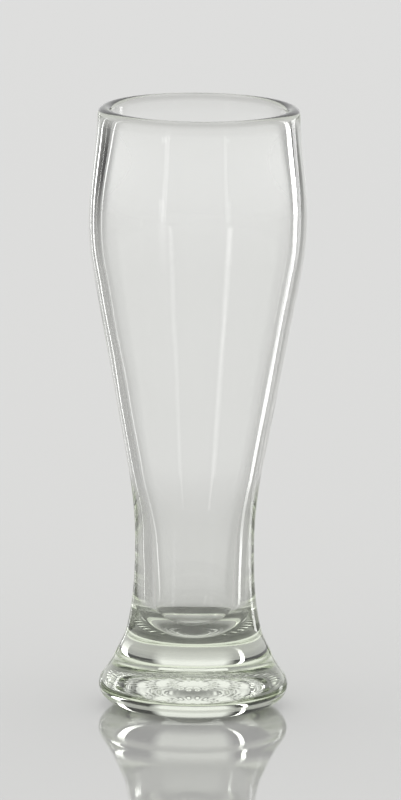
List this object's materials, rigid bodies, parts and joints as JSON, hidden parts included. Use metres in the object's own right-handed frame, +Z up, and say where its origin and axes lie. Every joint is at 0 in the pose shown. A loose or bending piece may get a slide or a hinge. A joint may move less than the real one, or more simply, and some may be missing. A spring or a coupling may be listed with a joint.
{
  "type": "pilsner glass",
  "caption": "Tall clear pilsner glass with a narrowed mouth, a bulged upper bowl, a long taper to a waist and a heavy flared foot, for serving beer.",
  "frame": {"origin": "on the table at the centre of the foot, in the plane of the ring that the glass stands on", "axes": "+Z up along the axis of the glass, from the foot to the rim; X and Y are any two directions across it, since the glass is round"},
  "size_m": [0.084, 0.084, 0.2337],
  "materials": {
    "clear_glass": "fire-polished, clear, with the faint green of thick soda-lime glass"
  },
  "bodies": {
    "root": {"bowl": "clear_glass", "foot": "clear_glass"}
  },
  "joints": []
}
